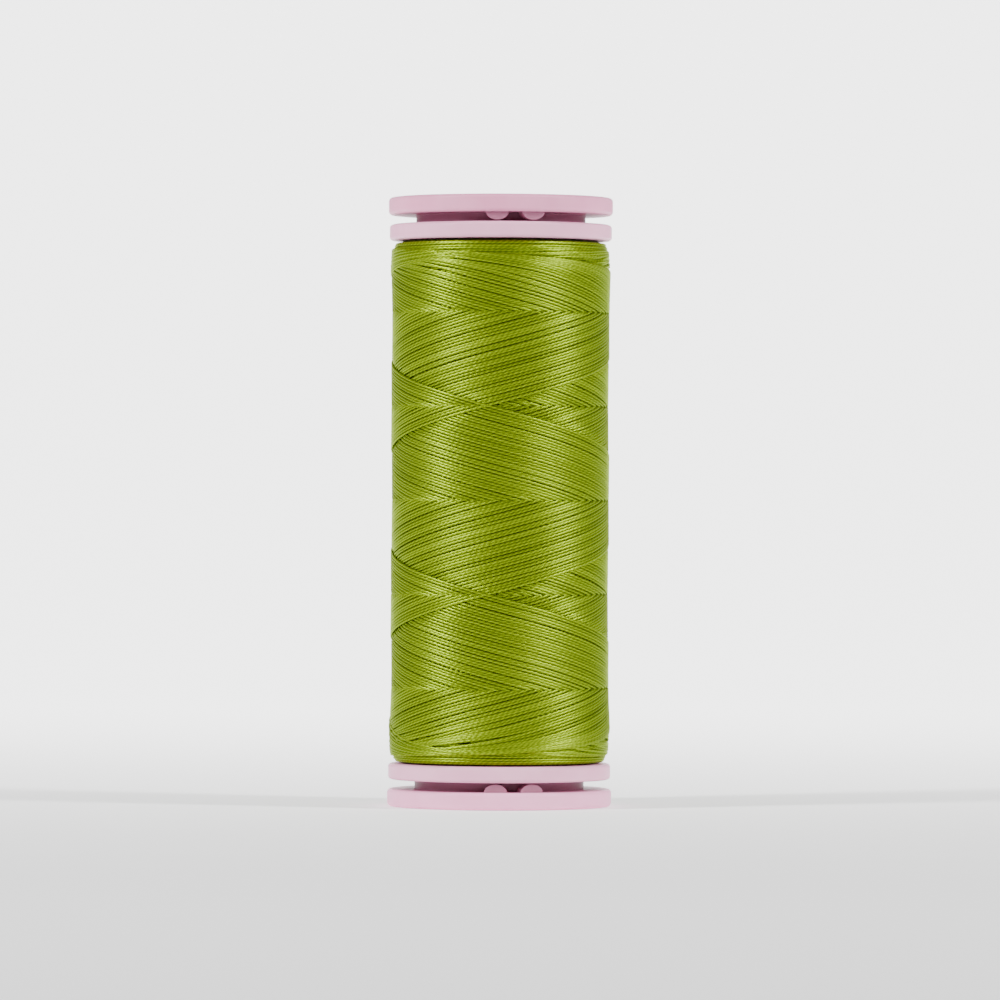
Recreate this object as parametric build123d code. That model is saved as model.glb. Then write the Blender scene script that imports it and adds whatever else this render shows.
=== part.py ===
from build123d import *
import os

os.makedirs("parts", exist_ok=True)

# Snap-end sewing thread spool, millimetres, standing on its bottom cap.
# The origin is the centre of the bottom cap's outer face; +Z runs up the spool.
# Both snap caps are shown pulled out, with the thread-catch grooves open.

# Overall
HEIGHT = 61.0            # caps open; 59.2 with both caps pushed home

# Snap caps
CAP_R = 11.25            # outer disc radius
CAP_T = 1.75             # outer disc thickness
CAP_EDGE = 0.38          # rim rounding
GROOVE = 0.95            # open thread-catch groove
SLEEVE_R = 8.5           # guide sleeve, outside
SLEEVE_WALL = 0.8
SLEEVE_END = 9.5         # sleeve length from the cap's outer face
BEAD_H = 0.3             # snap bead, proud of the sleeve
BEAD_T = 0.8             # snap bead, along the spool
BEAD_AT = 8.0            # bead's outer side, from the cap's outer face
SLOT_W = 2.2             # slots that part the sleeve into spring legs
SLOT_TOP = 2.6           # slots start here, from the cap's outer face
SLOTS = (60.0, 180.0, 300.0)
PIN_R = 3.25             # spool-pin hole
PIN_WALL = 0.8
PIN_END = 7.5            # pin tube length from the cap's outer face

# Thread-catch bumps, measured from the front (-Y) towards +X
BUMPS = (-2.0, 18.0)
BUMP_W = 2.25
BUMP_H = 0.8
BUMP_IN, BUMP_OUT = 9.2, 10.5
POCKET_GAP = 0.12

# Paper labels, recessed in the caps' outer faces
LABEL_IN, LABEL_OUT = 4.4, 9.7
LABEL_T = 0.1
LABEL_SINK = 0.14
LABEL_SIDE = 0.1

# Barrel with its two inner flanges
FLANGE_R = 11.15
FLANGE_T = 1.6
FLANGE_EDGE = 0.35
BARREL_R = 9.4
BORE_R = 8.56            # running fit on the sleeves
KEY_W = 2.0              # keys that run in the sleeve slots
KEY_IN = 7.8
CATCH_R = 8.95           # groove that holds the snap beads
CATCH_SLACK = 0.05
TRAVEL = 0.9

# Wound thread
WIND_IN = 9.43
WIND_END_R = 9.85        # where the package meets the flanges
WIND_R = 10.90           # middle of the package
WIND_TOP_R = 11.0
WIND_FOOT_R = 11.05      # slight bulge low down
WIND_GAP = 0.05

FLANGE_Z = CAP_T + GROOVE
WIND_Z0 = FLANGE_Z + FLANGE_T + WIND_GAP
WIND_Z1 = HEIGHT - WIND_Z0


def turned(points):
    """Solid of revolution about Z from (radius, z) points."""
    outline = Polyline(*[(r, 0, z) for r, z in points], close=True)
    return revolve(make_face(outline), Axis.Z, 360)


def ring(r_in, r_out, z0, z1):
    """Plain tube between two heights."""
    return turned([(r_in, z0), (r_out, z0), (r_out, z1), (r_in, z1)])


def rim_edges(solid, radius):
    """Circular edges of one radius."""
    circles = solid.edges().filter_by(GeomType.CIRCLE)
    return circles.filter_by(lambda e: abs(e.radius - radius) < 1e-4)


def at_bumps(piece):
    """Copies of a piece modelled on the front, at each bump."""
    return [Rot(0, 0, angle) * piece for angle in BUMPS]


def bump(width, height, r_in, r_out, base_z):
    """Half-round tooth lying radially on the front, pointing up from base_z."""
    arch = Ellipse(width / 2, height)
    bar = extrude(Plane.XZ * arch, r_out - r_in)
    bar = Pos(0, -r_in, base_z) * bar
    keep = Pos(0, -(r_in + r_out) / 2, base_z + height) * Box(width * 2, r_out - r_in + 1, height * 2)
    return bar & keep


def snap_cap():
    """Bottom cap, outer face at z = 0, sleeve pointing up."""
    disc = fillet(rim_edges(ring(PIN_R, CAP_R, 0, CAP_T), CAP_R), CAP_EDGE)
    recess = ring(LABEL_IN - LABEL_SIDE, LABEL_OUT + LABEL_SIDE, -1, LABEL_SINK)
    tube = ring(PIN_R, PIN_R + PIN_WALL, CAP_T / 2, PIN_END)
    sleeve = ring(SLEEVE_R - SLEEVE_WALL, SLEEVE_R, CAP_T / 2, SLEEVE_END)
    bead = turned([
        (SLEEVE_R - 0.2, BEAD_AT),
        (SLEEVE_R + BEAD_H, BEAD_AT),
        (SLEEVE_R + BEAD_H, BEAD_AT + BEAD_T / 2),
        (SLEEVE_R - 0.2, BEAD_AT + BEAD_T),
    ])
    legs = sleeve + bead
    slot_h = SLEEVE_END - SLOT_TOP + 1
    for angle in SLOTS:
        slot = Pos(SLEEVE_R, 0, SLOT_TOP + slot_h / 2) * Box(4, SLOT_W, slot_h)
        legs -= Rot(0, 0, angle) * slot
    cap = disc - recess + tube + legs
    for tooth in at_bumps(bump(BUMP_W, BUMP_H, BUMP_IN, BUMP_OUT, CAP_T - 0.001)):
        cap += tooth
    return cap


def upended(piece):
    """The same piece at the other end of the spool, teeth still to the front."""
    return mirror(piece, Plane((0, 0, HEIGHT / 2)))


def label():
    """Bottom paper label."""
    return ring(LABEL_IN, LABEL_OUT, LABEL_SINK - LABEL_T, LABEL_SINK)


def flange():
    """Bottom inner flange."""
    plate = ring(BORE_R, FLANGE_R, FLANGE_Z, FLANGE_Z + FLANGE_T)
    return fillet(rim_edges(plate, FLANGE_R), FLANGE_EDGE)


def pockets():
    """Hollows in the bottom inner flange that take the thread-catch bumps."""
    width = BUMP_W + 2 * POCKET_GAP
    depth = BUMP_H + POCKET_GAP
    inner = BUMP_IN - POCKET_GAP
    outer = BUMP_OUT + POCKET_GAP / 2
    return at_bumps(bump(width, depth, inner, outer, FLANGE_Z - 0.001))


def barrel():
    """Barrel tube, both inner flanges, keys and snap grooves."""
    lower = flange()
    tube = ring(BORE_R, BARREL_R, FLANGE_Z, HEIGHT - FLANGE_Z)
    catch = ring(
        BORE_R - 0.5,
        CATCH_R,
        BEAD_AT - CATCH_SLACK,
        BEAD_AT + BEAD_T + TRAVEL + CATCH_SLACK,
    )
    body = tube + lower + upended(lower) - catch - upended(catch)
    for hollow in pockets():
        body = body - hollow - upended(hollow)
    key_z0 = SLOT_TOP + TRAVEL + 0.3
    key_h = HEIGHT - 2 * key_z0
    depth = BORE_R + 0.3 - KEY_IN
    key = Pos(KEY_IN + depth / 2, 0, HEIGHT / 2) * Box(depth, KEY_W, key_h)
    for angle in SLOTS:
        body += Rot(0, 0, angle) * key
    return body


def winding():
    """Thread package with rolled-off ends."""
    z0, z1 = WIND_Z0, WIND_Z1
    drop = WIND_R - WIND_END_R
    swell = Spline(
        (WIND_FOOT_R - 0.06, 0, z0 + 1.35),
        (WIND_FOOT_R, 0, z0 + 3.6),
        (WIND_R, 0, z0 + 9.0),
        tangents=[(0.1, 0, 1), (0, 0, 1)],
    )
    crown = Spline(
        (WIND_R, 0, z1 - 9.0),
        (WIND_TOP_R, 0, z1 - 2.6),
        (WIND_TOP_R - 0.06, 0, z1 - drop),
        tangents=[(0, 0, 1), (-0.1, 0, 1)],
    )
    side = Line(swell @ 1, crown @ 0)
    foot = ThreePointArc((WIND_END_R, 0, z0), (10.72, 0, z0 + 0.38), swell @ 0)
    head = ThreePointArc(crown @ 1, (10.62, 0, z1 - 0.3), (WIND_END_R, 0, z1))
    inner = Polyline((WIND_END_R, 0, z1), (WIND_IN, 0, z1), (WIND_IN, 0, z0), (WIND_END_R, 0, z0))
    return revolve(make_face(Wire([foot, swell, side, crown, head] + inner.edges())), Axis.Z, 360)


cap = snap_cap()
paper = label()

nodes = {
    "spool_barrel": barrel(),
    "bottom_snap_cap": cap,
    "top_snap_cap": upended(cap),
    "bottom_label": paper,
    "top_label": upended(paper),
    "thread_winding": winding(),
}

for name, shape in nodes.items():
    solids = shape.solids()
    assert len(solids) == 1, (name, len(solids))
    export_step(solids[0], f"parts/{name}.step")
    print(name, round(solids[0].volume, 2))
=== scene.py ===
import math

import bpy
import numpy as np
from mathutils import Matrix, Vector


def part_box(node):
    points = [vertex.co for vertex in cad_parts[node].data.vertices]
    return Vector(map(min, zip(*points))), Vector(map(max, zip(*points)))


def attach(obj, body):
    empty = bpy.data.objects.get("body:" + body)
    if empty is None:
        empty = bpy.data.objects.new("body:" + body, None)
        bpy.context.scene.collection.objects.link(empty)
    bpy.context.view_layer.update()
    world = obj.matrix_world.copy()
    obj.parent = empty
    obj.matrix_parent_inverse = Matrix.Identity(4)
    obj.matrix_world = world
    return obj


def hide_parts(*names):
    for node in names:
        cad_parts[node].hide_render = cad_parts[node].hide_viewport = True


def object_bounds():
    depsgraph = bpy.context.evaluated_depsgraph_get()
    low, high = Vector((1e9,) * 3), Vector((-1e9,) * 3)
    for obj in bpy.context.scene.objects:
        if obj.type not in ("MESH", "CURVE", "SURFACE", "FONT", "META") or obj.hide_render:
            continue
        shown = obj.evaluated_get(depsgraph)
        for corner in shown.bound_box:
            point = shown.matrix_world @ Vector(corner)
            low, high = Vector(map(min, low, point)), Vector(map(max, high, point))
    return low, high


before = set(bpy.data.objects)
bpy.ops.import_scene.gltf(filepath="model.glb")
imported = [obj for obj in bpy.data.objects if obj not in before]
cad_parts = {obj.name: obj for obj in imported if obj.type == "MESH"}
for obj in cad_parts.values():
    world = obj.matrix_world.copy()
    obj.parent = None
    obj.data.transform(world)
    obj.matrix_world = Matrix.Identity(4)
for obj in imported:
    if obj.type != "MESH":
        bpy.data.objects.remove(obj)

CAD_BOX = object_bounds()
CAD_MIDDLE = 0.5 * (CAD_BOX[0][2] + CAD_BOX[1][2])
MM = 0.001
TAU = 2.0 * math.pi
RIM_R = (0.01055, 0.01115)   # from the painted shade in the caps' groove to their pale rim
DISC_T = 0.00168             # just under the thickness of the caps' discs
GLOW = 3.2                   # brightness of the paper behind the spool
rng = np.random.default_rng(41)


# ---------------------------------------------------------------- node helpers

def new_material(name):
    """An empty node material with its Principled shader."""
    mat = bpy.data.materials.new(name)
    mat.use_nodes = True
    tree = mat.node_tree
    return mat, tree, tree.nodes["Principled BSDF"]


def add(tree, kind, **values):
    """A node with its properties and unlinked inputs set."""
    node = tree.nodes.new(kind)
    for key, value in values.items():
        if key in node.inputs:
            node.inputs[key].default_value = value
        else:
            setattr(node, key, value)
    return node


def ramp(tree, source, stops):
    """A colour ramp over a 0 to 1 value."""
    node = tree.nodes.new("ShaderNodeValToRGB")
    while len(node.color_ramp.elements) < len(stops):
        node.color_ramp.elements.new(0.5)
    for element, (place, colour) in zip(node.color_ramp.elements, stops):
        element.position = place
        element.color = (*colour, 1.0)
    tree.links.new(source, node.inputs["Fac"])
    return node.outputs["Color"]


def maths(tree, operation, a, b=None, c=None):
    """One maths node; inputs are sockets or numbers."""
    node = tree.nodes.new("ShaderNodeMath")
    node.operation = operation
    for socket, value in zip(node.inputs, (a, b, c)):
        if value is None:
            continue
        if isinstance(value, (int, float)):
            socket.default_value = value
        else:
            tree.links.new(value, socket)
    return node.outputs[0]


def remap(tree, source, span, values=(0.0, 1.0), **settings):
    """A value carried from one span to another and held at its ends."""
    node = add(tree, "ShaderNodeMapRange", **settings)
    sockets = ("From Min", "From Max", "To Min", "To Max")
    for socket, value in zip(sockets, (*span, *values)):
        node.inputs[socket].default_value = value
    tree.links.new(source, node.inputs["Value"])
    return node.outputs["Result"]


def xyz_of(tree, vector=None):
    """A vector's three parts; the object coordinates' unless a vector is given."""
    if vector is None:
        vector = tree.nodes.new("ShaderNodeTexCoord").outputs["Object"]
    split = tree.nodes.new("ShaderNodeSeparateXYZ")
    tree.links.new(vector, split.inputs[0])
    return split.outputs


def from_axis(tree, xyz):
    """Distance from the spool's axis."""
    x2 = maths(tree, "MULTIPLY", xyz[0], xyz[0])
    y2 = maths(tree, "MULTIPLY", xyz[1], xyz[1])
    return maths(tree, "SQRT", maths(tree, "ADD", x2, y2))


def noise(tree, scale, detail=2.0, roughness=0.5, vector=None):
    """Noise on object coordinates, or on a given vector."""
    if vector is None:
        vector = tree.nodes.new("ShaderNodeTexCoord").outputs["Object"]
    node = add(tree, "ShaderNodeTexNoise", Scale=scale, Detail=detail, Roughness=roughness)
    tree.links.new(vector, node.inputs["Vector"])
    return node.outputs["Fac"]


def bump(tree, shader, height, distance, strength=1.0):
    """Bump from a height socket, distance in metres."""
    node = add(tree, "ShaderNodeBump", Strength=strength, Distance=distance)
    tree.links.new(height, node.inputs["Height"])
    tree.links.new(node.outputs["Normal"], shader.inputs["Normal"])


# ---------------------------------------------------------------- winding
# millimetres; one turn is the unit of angle

box_low, box_high = (Vector(corner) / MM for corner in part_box("thread_winding"))
WIND_Z0, WIND_Z1 = box_low.z, box_high.z
WIND_MIDDLE = 0.5 * (WIND_Z0 + WIND_Z1)
WIND_MAX_R = box_high.x

STROKES = 62                 # double strokes in the layer that shows
TURNS = 6.0 + 1.0 / STROKES  # turns in one double stroke
REVERSE_LOW = 2.4            # where straight strokes would turn back
REVERSE_HIGH = 58.8
PITCH = (REVERSE_HIGH - REVERSE_LOW) / (TURNS / 2)
PHASE = -0.0125              # places the youngest crossing
STEPS = 72                   # segments in one turn
LIFT = 0.20                  # rise where a strand lies on another
CLIMB = 0.8 / STROKES        # share of the layer over which it makes that rise
GROWTH = 0.15                # package growth over the layer
END_LOW, END_HIGH = WIND_Z0 + 0.25, WIND_Z1 - 0.25
KNEE = 3.0                   # length over which a stroke bends into its turn-back

STROKE_JITTER = 0.030        # how far a whole stroke sits off its place
WANDER = 0.016               # slow drift along a stroke
WANDER_WAVES = 3
WANDER_RATES = (0.15, 1.6)   # waves in a turn
WANDER_FREE = 4.0            # distance from a turn-back where strokes are free to sit off
RIPPLE, RIPPLE_RATE = 0.005, 7.3   # slow change in how deep a strand lies
GRAIN = 0.002                # fine change in the same

EARLY = 1.05                 # an older stroke turns back up to this much sooner
YOUNG = 12                   # youngest strokes, whose turn-backs lie in order
LAST_SHORT = (0.50, 1.15)    # how much sooner the last one turns back, low and high end
LAG = (1.7, 0.95)            # how far the last one hangs back before it turns
LAG_AT, LAG_OVER = 4.5, 2.8  # where it hangs back, before the turn-back, and over what length
SINK = 0.085                 # every other strand sits this deep where turn-backs crowd
CROWD = 3.2                  # length over which they crowd

END_TURNS = 7                # close turns under the turn-backs
END_SPAN = 1.9               # how far in from the end the first of them lies
END_STOP = (0.03, 0.12)      # how far short of the end the last one lies, low and high end
END_WAVE, END_WAVE_RATE = 0.015, 2.9
END_TONE = 0.4
END_INSET = (0.27, 0.10)     # how deep the first and the last of them lie
TUCK, TUCK_STEPS = 0.35, 4   # each end of them dives this deep, in so many segments

HALF_WIDTH = 0.146           # strand, across the lay
HALF_DEPTH = 0.125           # strand, in and out
GIRTH = 0.85                 # way round a strand
SECTION = np.radians([220.0, 276.0, 318.0, 0.0, 42.0, 84.0, 140.0])
SIDES = len(SECTION)
CREST_SIDE = 3               # the point of the section that faces out

SKIN_GRID = 220, 160         # rows and columns of the skin below the strands
SKIN_MARGIN = 0.02           # skin, short of each end
SKIN_RISE = 0.04             # skin, up into the strands that lie on it
SKIN_LEAST = 0.35            # skin, deepest inside the shoulder
SKIN_BORE = 9.43
SKIN_RIDGE, SKIN_PITCH = 0.03, 0.304

# how far the package lies inside its widest radius, against the distance from its lower
# end (PROFILE) and from its upper end (CROWN)
PROFILE_Z = np.array([0.0, 0.10, 0.38, 0.80, 1.35, 3.6, 6.0, 9.0])
PROFILE_R = np.array([-1.15, -0.72, -0.32, -0.15, -0.06, 0.0, -0.09, -0.15])
CROWN_Z = np.array([0.0, 0.10, 0.30, 0.60, 1.01, 2.6, 5.0, 9.0])
CROWN_R = np.array([-1.15, -0.75, -0.42, -0.22, -0.12, -0.05, -0.10, -0.15])


def crest(z):
    """Radius of the package's skin at height z."""
    foot = np.interp(z - WIND_Z0, PROFILE_Z, PROFILE_R)
    head = np.interp(WIND_Z1 - z, CROWN_Z, CROWN_R)
    return WIND_MAX_R + np.where(z < WIND_MIDDLE, foot, head)


def soften(z, short):
    """Straight strokes bent over into the turn-back at each end."""
    high = END_HIGH - short[1] - KNEE
    low = END_LOW + short[0] + KNEE
    over = KNEE * (1.0 - np.exp(-np.maximum(z - high, 0.0) / KNEE))
    under = KNEE * (1.0 - np.exp(-np.maximum(low - z, 0.0) / KNEE))
    return np.where(z > high, high + over, np.where(z < low, low - under, z))


def smooth(x):
    """0 below -1, 1 above 1, eased between."""
    x = np.clip(0.5 + 0.5 * x, 0.0, 1.0)
    return x * x * (3.0 - 2.0 * x)


def age_up(turn, z):
    """When the rising strand at this place was laid, 0 to 1."""
    return np.mod(turn - (z - REVERSE_LOW) / PITCH, 1.0)


def age_down(turn, z):
    """When the falling strand at this place was laid, 0 to 1."""
    return np.mod(turn - TURNS / 2 - (REVERSE_HIGH - z) / PITCH, 1.0)


def on_top(own, other):
    """1 where a strand lies over the crossing ones, 0 where it lies under."""
    over = smooth((own - other) / CLIMB)
    just_after = 0.5 * (1.0 + smooth(2.0 * other / CLIMB - 1.0))
    just_before = 0.5 * (1.0 - smooth(2.0 * (1.0 - other) / CLIMB - 1.0))
    over = np.where(other < CLIMB, over * just_after, over)
    return np.where(other > 1.0 - CLIMB, over + (1.0 - over) * just_before, over)


def wander(turns):
    """Slow random drift along each stroke."""
    drift = np.zeros_like(turns)
    for _ in range(WANDER_WAVES):
        rate = rng.uniform(*WANDER_RATES, STROKES)[:, None]
        phase = rng.uniform(0.0, TAU, STROKES)[:, None]
        drift = drift + np.sin(TAU * rate * turns + phase)
    return drift * WANDER / math.sqrt(WANDER_WAVES)


def lay_path():
    """Centre line of the outer layer, a row for each stroke.

    Gives each point's turn, height, time of laying, seat and how deep it is sunk.
    """
    per_stroke = int(round(STEPS * TURNS))
    local = np.arange(per_stroke) / per_stroke * TURNS
    stroke = np.arange(STROKES)[:, None]
    u = np.broadcast_to(local, (STROKES, per_stroke))
    turn = stroke / STROKES + u
    rising = u < TURNS / 2
    rise = REVERSE_LOW + PITCH * u
    fall = REVERSE_HIGH - PITCH * (u - TURNS / 2)
    straight = np.where(rising, rise, fall)
    own = np.broadcast_to(stroke / STROKES, u.shape)
    other = np.where(rising, age_down(turn, straight), age_up(turn, straight))
    near_end = np.minimum(straight - REVERSE_LOW, REVERSE_HIGH - straight)
    seat = on_top(own, other)

    # each stroke sits a little off its place
    offset = rng.normal(0.0, STROKE_JITTER, STROKES)[:, None]
    drift = offset * np.clip(near_end / WANDER_FREE, 0.0, 1.0) + wander(u)

    # and turns back a little sooner; the youngest ones do so in order
    young = np.clip(np.arange(STROKES) - (STROKES - YOUNG) + 1, 0, YOUNG) / YOUNG
    short = []
    for last in LAST_SHORT:
        early = EARLY * rng.uniform(0.0, 1.0, STROKES)
        early[-YOUNG:] = last * young[-YOUNG:]
        short.append(early[:, None])
    hang = np.exp(-(((near_end - LAG_AT) / LAG_OVER) ** 2)) * young[:, None]
    falling_low = (~rising) & (straight < WIND_MIDDLE)
    rising_high = rising & (straight > WIND_MIDDLE)
    drift = drift + hang * (LAG[0] * falling_low - LAG[1] * rising_high)
    z = soften(straight + drift, short)
    crowd = np.exp(-((near_end / CROWD) ** 2))
    sunk = SINK * crowd * (np.arange(STROKES) % 2)[:, None]
    return turn, z, own, seat, sunk


def strand_mesh(name, first, last, data):
    """One closed tube along strokes first to last of the lay."""
    per_stroke = data[0].shape[1]
    cut = slice(first * per_stroke, last * per_stroke + 1)
    turn, z, own, seat, sunk = (part.reshape(-1)[cut] for part in data)
    height = crest(z) - HALF_DEPTH - LIFT * (1.0 - seat) + GROWTH * (own - 0.5) - sunk
    radius = height + RIPPLE * np.sin(turn * RIPPLE_RATE) + rng.normal(0.0, GRAIN, len(turn))
    tones = np.repeat(rng.uniform(0.0, 1.0, last - first + 1), per_stroke)[:len(turn)]
    return tube(name, turn, z, radius, tones)


def end_turns(name, first_z, last_z):
    """Close turns that fill the package's shoulder under the turn-backs."""
    count = (END_TURNS + 1) * STEPS
    turn = 0.5 + np.arange(count) / STEPS
    share = np.clip(np.linspace(0.0, 1.0 + 1.0 / END_TURNS, count), 0.0, 1.0)
    z = share * (last_z - first_z) + first_z
    z = z + END_WAVE * np.sin(turn * END_WAVE_RATE)
    radius = crest(z) - HALF_DEPTH - np.linspace(*END_INSET, count)
    radius[:TUCK_STEPS] -= np.linspace(TUCK, 0.0, TUCK_STEPS)
    radius[-TUCK_STEPS:] -= np.linspace(0.0, TUCK, TUCK_STEPS)
    return tube(name, turn, z, radius, np.full(count, END_TONE))


def unit(vectors):
    """Rows scaled to length one."""
    return vectors / np.linalg.norm(vectors, axis=1)[:, None]


def tube(name, turn, z, radius, tones):
    """One closed strand through points given by turn, height and radius."""
    angle = TAU * (turn + PHASE)
    centre = np.stack([radius * np.sin(angle), -radius * np.cos(angle), z], axis=1)
    ahead = unit(np.gradient(centre, axis=0))
    out = np.stack([np.sin(angle), -np.cos(angle), np.zeros_like(angle)], axis=1)
    side = unit(np.cross(ahead, out))
    out = np.cross(side, ahead)

    across = HALF_WIDTH * np.sin(SECTION)
    depth = HALF_DEPTH * np.cos(SECTION)
    points = (
        centre[:, None, :]
        + side[:, None, :] * across[None, :, None]
        + out[:, None, :] * depth[None, :, None]
    ).reshape(-1, 3) * MM
    mesh = tube_mesh(name, points)
    lay_ply(mesh, centre)
    tone = mesh.attributes.new("tone", "FLOAT", "POINT")
    tone.data.foreach_set("value", np.repeat(tones, SIDES).astype(np.float32))
    return in_scene(name, mesh)


def tube_mesh(name, points):
    """Closed mesh over rings of SIDES points, filled at both ends."""
    rings = len(points) // SIDES
    ring = np.arange(rings - 1)[:, None] * SIDES
    k = np.arange(SIDES)[None, :]
    k_next = (k + 1) % SIDES
    quads = np.stack([ring + k, ring + k_next, ring + SIDES + k_next, ring + SIDES + k], axis=2)
    quads = quads.reshape(-1, 4)
    loops = np.concatenate([
        quads.reshape(-1),
        np.arange(SIDES)[::-1],
        (rings - 1) * SIDES + np.arange(SIDES),
    ])
    starts = np.concatenate([np.arange(len(quads)) * 4, len(quads) * 4 + np.array([0, SIDES])])
    totals = np.concatenate([np.full(len(quads), 4), [SIDES, SIDES]])

    mesh = bpy.data.meshes.new(name)
    mesh.vertices.add(len(points))
    mesh.vertices.foreach_set("co", points.reshape(-1))
    mesh.loops.add(len(loops))
    mesh.loops.foreach_set("vertex_index", loops.astype(np.int32))
    mesh.polygons.add(len(starts))
    mesh.polygons.foreach_set("loop_start", starts.astype(np.int32))
    mesh.polygons.foreach_set("loop_total", totals.astype(np.int32))
    mesh.polygons.foreach_set("use_smooth", np.ones(len(starts), dtype=bool))
    mesh.update(calc_edges=True)
    return mesh


def lay_ply(mesh, centre):
    """UV layer for the ply twist: length along the thread and way round it."""
    step = np.linalg.norm(np.diff(centre, axis=0), axis=1)
    along = np.concatenate([[0.0], np.cumsum(step)])
    v0 = np.broadcast_to(np.arange(SIDES)[None, :] / SIDES * GIRTH, (len(centre) - 1, SIDES))
    v1 = v0 + GIRTH / SIDES
    u0 = np.broadcast_to(along[:-1, None], v0.shape)
    u1 = np.broadcast_to(along[1:, None], v0.shape)
    uv = np.stack([u0, v0, u0, v1, u1, v1, u1, v0], axis=2).reshape(-1)
    ends = np.zeros(4 * SIDES)
    layer = mesh.uv_layers.new(name="ply")
    layer.data.foreach_set("uv", np.concatenate([uv, ends]).astype(np.float32))


def in_scene(name, mesh):
    """An object for a mesh, linked into the scene."""
    piece = bpy.data.objects.new(name, mesh)
    bpy.context.scene.collection.objects.link(piece)
    return piece


def under_layer(name):
    """The wound thread below the outer layer, a turned skin with rolled ends."""
    rows, columns = SKIN_GRID
    z = np.linspace(WIND_Z0 + SKIN_MARGIN, WIND_Z1 - SKIN_MARGIN, rows)
    shoulder = crest(np.array([WIND_Z0 + 0.05]))[0]
    radius = crest(z) - GROWTH - LIFT - 2.0 * HALF_DEPTH + SKIN_RISE
    radius = np.maximum(radius, shoulder - SKIN_LEAST)
    radius = radius + SKIN_RIDGE * np.sin(TAU * z / SKIN_PITCH)
    outline_r = np.concatenate([[SKIN_BORE], radius, [SKIN_BORE]])
    outline_z = np.concatenate([[z[0]], z, [z[-1]]])
    angle = np.arange(columns) / columns * TAU
    points = [
        (r * math.sin(a) * MM, -r * math.cos(a) * MM, h * MM)
        for r, h in zip(outline_r, outline_z)
        for a in angle
    ]
    count = len(outline_r)
    faces = []
    for i in range(count):
        j = (i + 1) % count
        for k in range(columns):
            m = (k + 1) % columns
            faces.append((i * columns + k, i * columns + m, j * columns + m, j * columns + k))
    mesh = bpy.data.meshes.new(name)
    mesh.from_pydata(points, [], faces)
    mesh.update()
    smooth_faces(mesh)
    return in_scene(name, mesh)


def smooth_faces(mesh):
    """Smooth shading on every face."""
    for polygon in mesh.polygons:
        polygon.use_smooth = True


# ---------------------------------------------------------------- materials

def thread_material():
    """Spun polyester: twisted plies, fine fibres and a coloured gloss."""
    mat, tree, shader = new_material("lime_thread")
    uv = add(tree, "ShaderNodeUVMap", uv_map="ply").outputs["UV"]
    along, around, _ = xyz_of(tree, uv)

    # the plies wind round the thread, not quite evenly; the rates are waves per millimetre
    rate_along, rate_round, unevenness = 1.75, 2.35, 0.7
    wobble = noise(tree, 0.9, 1.0, vector=uv)
    twist = maths(tree, "MULTIPLY", along, rate_along)
    twist = maths(tree, "ADD", twist, maths(tree, "MULTIPLY", around, rate_round))
    twist = maths(tree, "ADD", twist, maths(tree, "MULTIPLY", wobble, unevenness))
    ply = maths(tree, "SINE", maths(tree, "MULTIPLY", twist, TAU))
    ply = maths(tree, "MULTIPLY_ADD", ply, 0.5, 0.5)

    # fine fibres run nearly along the thread
    stretch = add(tree, "ShaderNodeMapping", Scale=(2.2, 26.0, 1.0), Rotation=(0.0, 0.0, 0.25))
    tree.links.new(uv, stretch.inputs["Vector"])
    fibre = noise(tree, 1.0, 3.0, 0.65, vector=stretch.outputs["Vector"])

    tone = add(tree, "ShaderNodeAttribute", attribute_name="tone").outputs["Fac"]
    mix = maths(tree, "MULTIPLY", ply, 0.32)
    mix = maths(tree, "ADD", mix, maths(tree, "MULTIPLY", fibre, 0.48))
    mix = maths(tree, "ADD", mix, maths(tree, "MULTIPLY", tone, 0.20))

    # painted shade: the flanks, where strands press together, are darkened in colour as if in
    # the shadow of the gaps
    crest_turn = -TAU * CREST_SIDE / SIDES
    facing = maths(tree, "MULTIPLY_ADD", around, TAU / GIRTH, crest_turn)
    facing = maths(tree, "COSINE", facing)
    flank_painted_shade = remap(tree, facing, (-0.15, 0.75), (0.72, 1.0), interpolation_type="SMOOTHSTEP")
    mix = maths(tree, "MULTIPLY", mix, flank_painted_shade)
    colour = ramp(tree, mix, [
        (0.10, (0.062, 0.092, 0.002)),
        (0.45, (0.140, 0.206, 0.004)),
        (0.75, (0.250, 0.352, 0.008)),
    ])
    tree.links.new(colour, shader.inputs["Base Color"])
    relief = maths(tree, "MULTIPLY", ply, 0.6)
    relief = maths(tree, "ADD", relief, maths(tree, "MULTIPLY", fibre, 0.6))
    bump(tree, shader, relief, 0.00003, 0.6)
    shader.inputs["Metallic"].default_value = 0.68
    shader.inputs["Roughness"].default_value = 0.35
    shader.inputs["Specular IOR Level"].default_value = 0.25
    shader.inputs["Specular Tint"].default_value = (0.80, 1.0, 0.15, 1.0)
    return mat


def under_material():
    """The same thread deeper in the package, in shade."""
    mat, tree, shader = new_material("deep_thread")
    patch = noise(tree, 900.0, 3.0)
    colour = ramp(tree, patch, [
        (0.3, (0.045, 0.068, 0.002)),
        (0.7, (0.090, 0.135, 0.003)),
    ])
    tree.links.new(colour, shader.inputs["Base Color"])
    bump(tree, shader, noise(tree, 3200.0, 2.0), 0.00003, 0.5)
    shader.inputs["Roughness"].default_value = 0.8
    return mat


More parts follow.
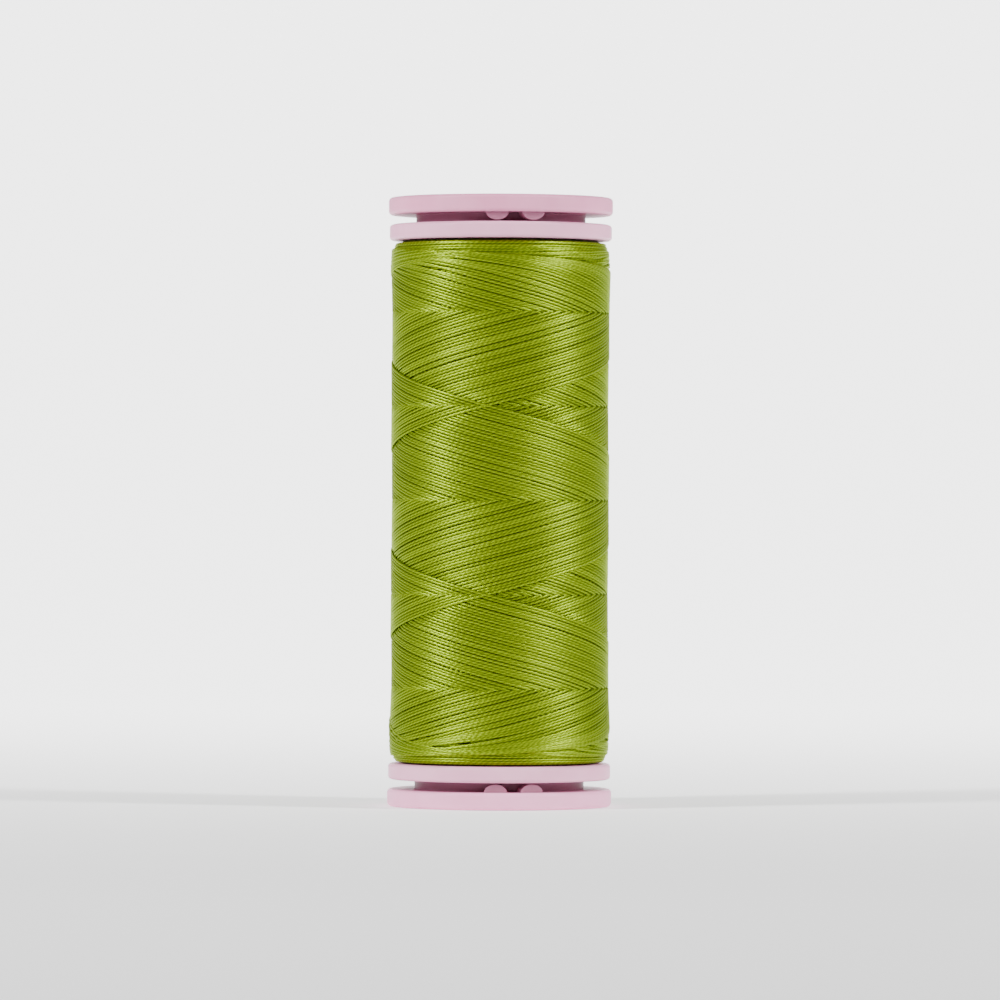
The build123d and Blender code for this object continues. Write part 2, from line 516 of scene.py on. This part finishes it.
def plastic_material(name, dark, light, deep=None):
    """Satin moulded plastic that lets a little light in; a cap's groove gets a darker colour as
    painted shade.
    """
    mat, tree, shader = new_material(name)
    cloud = noise(tree, 220.0, 3.0, 0.6)
    colour = ramp(tree, cloud, [(0.3, dark), (0.7, light)])
    # painted shade: inside the pale rim, away from the end discs, the colour is mixed to the
    # dark groove tone
    if deep:
        xyz = xyz_of(tree)
        rim = remap(tree, from_axis(tree, xyz), RIM_R)
        height = maths(tree, "ABSOLUTE", maths(tree, "SUBTRACT", xyz[2], CAD_MIDDLE))
        disc = maths(tree, "GREATER_THAN", height, CAD_MIDDLE - DISC_T)
        mixer = add(tree, "ShaderNodeMix", data_type="RGBA")
        tree.links.new(maths(tree, "MAXIMUM", rim, disc), mixer.inputs["Factor"])
        mixer.inputs[6].default_value = (*deep, 1.0)
        tree.links.new(colour, mixer.inputs[7])
        colour = mixer.outputs[2]
    tree.links.new(colour, shader.inputs["Base Color"])
    grain = noise(tree, 5200.0, 2.0)
    bump(tree, shader, grain, 0.000012, 0.35)
    rough = maths(tree, "MULTIPLY_ADD", noise(tree, 700.0, 2.0), 0.14, 0.30)
    tree.links.new(rough, shader.inputs["Roughness"])
    shader.inputs["Specular IOR Level"].default_value = 0.10
    shader.inputs["Subsurface Weight"].default_value = 0.15
    shader.inputs["Subsurface Radius"].default_value = (0.0010, 0.0006, 0.0008)
    shader.inputs["Subsurface Scale"].default_value = 1.0
    return mat


def paper_material():
    """Plain label paper with two coloured rings and no lettering."""
    mat, tree, shader = new_material("label_paper")
    centimetres = 100.0
    reach = maths(tree, "MULTIPLY", from_axis(tree, xyz_of(tree)), centimetres)
    fibre = noise(tree, 2600.0, 4.0, 0.7)
    bleed = maths(tree, "MULTIPLY", maths(tree, "SUBTRACT", fibre, 0.5), 0.006)
    reach = maths(tree, "ADD", reach, bleed)
    paper = (0.80, 0.79, 0.75)
    print_ink = (0.34, 0.42, 0.05)
    colour = ramp(tree, reach, [
        (0.505, paper),
        (0.510, print_ink),
        (0.555, print_ink),
        (0.560, paper),
        (0.870, paper),
        (0.875, print_ink),
        (0.915, print_ink),
        (0.920, paper),
    ])
    tree.links.new(colour, shader.inputs["Base Color"])
    bump(tree, shader, fibre, 0.00002, 0.4)
    shader.inputs["Roughness"].default_value = 0.75
    return mat


def backdrop_material():
    """Seamless pale paper that glows where it stands behind the spool."""
    mat, tree, shader = new_material("backdrop_paper")
    colour = ramp(tree, noise(tree, 3.0, 2.0), [
        (0.3, (0.86, 0.86, 0.86)),
        (0.7, (0.89, 0.89, 0.89)),
    ])
    tree.links.new(colour, shader.inputs["Base Color"])
    shader.inputs["Roughness"].default_value = 0.9
    shader.inputs["Specular IOR Level"].default_value = 0.1
    x, y, z = xyz_of(tree)
    glow = GLOW
    for source, span, values in (
        (y, (-0.15, 0.35), (0.0, 1.0)),
        (maths(tree, "ABSOLUTE", x), (0.17, 0.32), (1.0, 0.0)),
        (z, (0.20, 0.50), (1.0, 0.0)),
    ):
        fade = remap(tree, source, span, values, interpolation_type="SMOOTHSTEP")
        glow = maths(tree, "MULTIPLY", glow, fade)
    tree.links.new(glow, shader.inputs["Emission Strength"])
    shader.inputs["Emission Color"].default_value = (1.0, 1.0, 1.0, 1.0)
    return mat


def give_material(node, mat):
    """Put one material in every slot of a CAD node."""
    mesh = bpy.data.objects[node]
    if not mesh.material_slots:
        mesh.data.materials.append(mat)
    for slot in mesh.material_slots:
        slot.material = mat


# ---------------------------------------------------------------- build

data = lay_path()
thread = thread_material()
half = STROKES // 2
winding = [
    strand_mesh("thread_lay_lower", 0, half, data),
    strand_mesh("thread_lay_upper", half, STROKES, data),
    end_turns("thread_turns_bottom", END_LOW + END_SPAN, END_LOW + END_STOP[0]),
    end_turns("thread_turns_top", END_HIGH - END_SPAN, END_HIGH - END_STOP[1]),
]
for piece in winding:
    piece.data.materials.append(thread)
deep = under_layer("thread_package")
deep.data.materials.append(under_material())
for piece in winding + [deep]:
    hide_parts("thread_winding")
    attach(piece, "spool")

BARREL_TONES = (0.74, 0.34, 0.50), (0.80, 0.40, 0.55)
# painted shade: the top cap's tones are set darker than the bottom cap's, though both are the
# same plastic
CAP_TONES = {
    "bottom": ((0.84, 0.35, 0.55), (0.89, 0.40, 0.60)),
    "top": ((0.68, 0.255, 0.41), (0.74, 0.30, 0.46)),
}
# painted shade for the caps' groove core and the bumps in it
GROOVE_PAINTED_SHADE = (0.38, 0.155, 0.235)

give_material("spool_barrel", plastic_material("barrel_plastic_look", *BARREL_TONES))
for end, tones in CAP_TONES.items():
    look = plastic_material(f"{end}_cap_plastic_look", *tones, deep=GROOVE_PAINTED_SHADE)
    give_material(f"{end}_snap_cap", look)
    give_material(f"{end}_label", paper_material())


# ---------------------------------------------------------------- studio

def backdrop():
    """Floor that sweeps up into a wall behind."""
    width, front, depth, bend, wall = 1.6, 1.6, 0.9, 0.35, 1.6
    bend_steps = 16
    floor_z = CAD_BOX[0][2] - 0.00002
    outline = [(-front, 0.0), (depth - bend, 0.0)]
    for i in range(1, bend_steps + 1):
        a = i / bend_steps * math.pi / 2
        outline.append((depth - bend + bend * math.sin(a), bend - bend * math.cos(a)))
    outline.append((depth, wall))
    points = [(x, y, floor_z + z) for y, z in outline for x in (-width, width)]
    faces = [(2 * i, 2 * i + 1, 2 * i + 3, 2 * i + 2) for i in range(len(outline) - 1)]
    mesh = bpy.data.meshes.new("backdrop")
    mesh.from_pydata(points, [], faces)
    smooth_faces(mesh)
    mesh.materials.append(backdrop_material())
    in_scene("backdrop", mesh)


def softbox(name, azimuth, elevation, distance, size, power):
    """Area light aimed at the middle of the spool; azimuth 0 is the camera's side."""
    lamp = bpy.data.lights.new(name, "AREA")
    lamp.shape = "RECTANGLE"
    lamp.size, lamp.size_y = size
    lamp.energy = power
    holder = bpy.data.objects.new(name, lamp)
    a, e = math.radians(azimuth), math.radians(elevation)
    target = Vector((0.0, 0.0, CAD_MIDDLE))
    away = Vector((math.sin(a) * math.cos(e), -math.cos(a) * math.cos(e), math.sin(e)))
    holder.location = target + away * distance
    holder.rotation_euler = (-away).to_track_quat("-Z", "Y").to_euler()
    bpy.context.scene.collection.objects.link(holder)


def studio():
    """World, softboxes and camera."""
    world = bpy.data.worlds.new("studio")
    world.use_nodes = True
    background = world.node_tree.nodes["Background"]
    background.inputs["Color"].default_value = (1.0, 1.0, 1.0, 1.0)
    background.inputs["Strength"].default_value = 0.10
    bpy.context.scene.world = world
    softbox("softbox_left", -60.0, 28.0, 0.60, (0.085, 0.34), 6.4)
    softbox("softbox_right", 66.0, 28.0, 0.60, (0.085, 0.34), 5.8)

    camera = bpy.data.cameras.new("camera")
    camera.sensor_width = 36.0
    camera.lens = 251.0
    camera.clip_start = 0.01
    holder = bpy.data.objects.new("camera", camera)
    holder.location = (0.0, -0.70, CAD_MIDDLE + 0.0002)
    holder.rotation_euler = (math.radians(90.0), math.radians(-0.19), 0.0)
    bpy.context.scene.collection.objects.link(holder)
    bpy.context.scene.camera = holder


backdrop()
studio()
